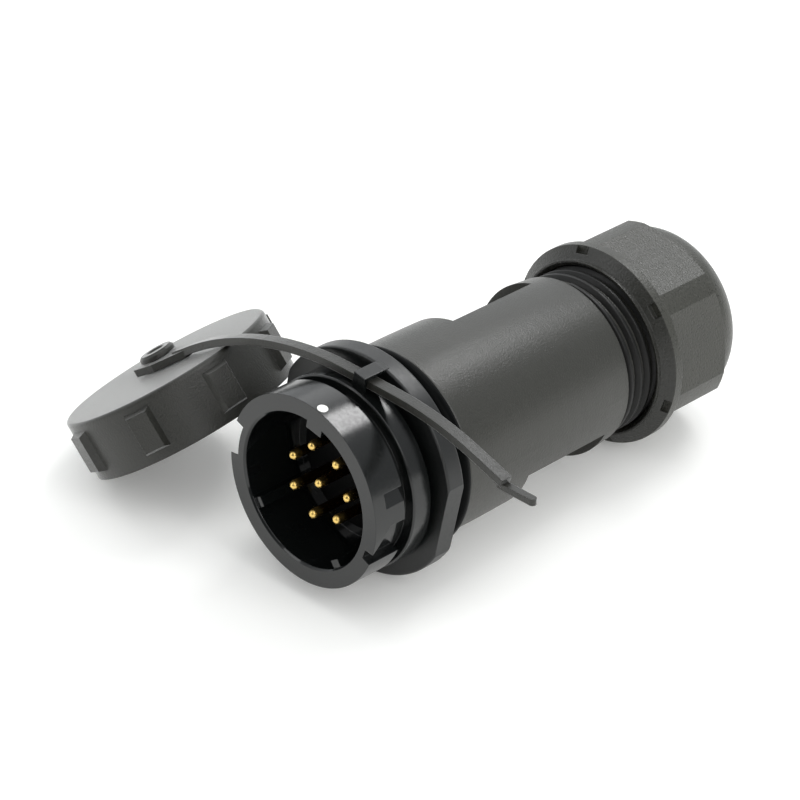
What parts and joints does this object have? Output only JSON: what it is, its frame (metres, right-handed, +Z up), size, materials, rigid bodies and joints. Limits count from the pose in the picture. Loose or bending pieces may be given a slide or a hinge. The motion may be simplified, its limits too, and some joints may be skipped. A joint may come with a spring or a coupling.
{
  "type": "twist-lock circular cable connector",
  "caption": "In-line circular cable connector with a keyed twist-lock nose, recessed contact pins, barrel with wrench flats, cable gland nut and a dust cap on a strap.",
  "frame": {"origin": "centre of the mating face, on the connector's axis", "axes": "+Y to the cable end along the connector as it lies, +Z up, +X to the strap's tail; the axis falls 1.8 degrees to the rear because the part rests on its flange and nut rim"},
  "size_m": [0.0912, 0.0903, 0.0361],
  "materials": {
    "shell_plastic": "glossy black moulded nylon",
    "carrier_plastic": "matte black insulator",
    "spring_steel": "plain spring steel",
    "contact_gold": "gold plated brass",
    "seal_rubber": "smooth black rubber",
    "body_plastic": "matte dark warm grey moulded nylon",
    "cage_plastic": "plain moulded nylon",
    "nut_plastic": "matte grey nylon with finely textured flats",
    "cap_plastic": "matte grey flexible plastic"
  },
  "bodies": {
    "shell": {"front_shell": "shell_plastic", "contact_carrier": "carrier_plastic", "contact_retainer": "carrier_plastic", "carrier_clip": "spring_steel", "contact_pin_1": "contact_gold", "contact_pin_2": "contact_gold", "contact_pin_3": "contact_gold", "contact_pin_4": "contact_gold", "contact_pin_5": "contact_gold", "contact_pin_6": "contact_gold", "contact_pin_7": "contact_gold", "contact_pin_8": "contact_gold", "flange_seal": "seal_rubber", "rear_body": "body_plastic", "gland_seal": "seal_rubber", "clamp_cage": "cage_plastic"},
    "slip": {"slip_ring": "cage_plastic"},
    "nut": {"gland_nut": "nut_plastic"},
    "tether": {"tether_strap": "cap_plastic"},
    "cap": {"cap": "cap_plastic", "cap_seal": "seal_rubber"}
  },
  "joints": [
    {"name": "gland_slip", "type": "slide", "parent": "shell", "child": "slip", "axis": [0, -0.9995, 0.0318], "range_m": [-0.002, 0.003]},
    {"name": "gland_nut_turn", "type": "hinge", "parent": "slip", "child": "nut", "pos_m": [0, 0.06996, -0.00222], "axis": [0, -0.9995, 0.0318], "range_deg": [-360, 540]},
    {"name": "strap_slide", "type": "slide", "parent": "shell", "child": "tether", "axis": [-0.9998, 0.0006, 0.0174], "range_m": [0, 0.004]},
    {"name": "cap_swivel", "type": "hinge", "parent": "tether", "child": "cap", "pos_m": [-0.04084, 0.00986, -0.00053], "axis": [-0.5458, -0.1389, 0.8263], "continuous": true}
  ],
  "couplings": [
    {"joint": "gland_slip", "follows": "gland_nut_turn", "m_per_rad": 0.00031831}
  ]
}
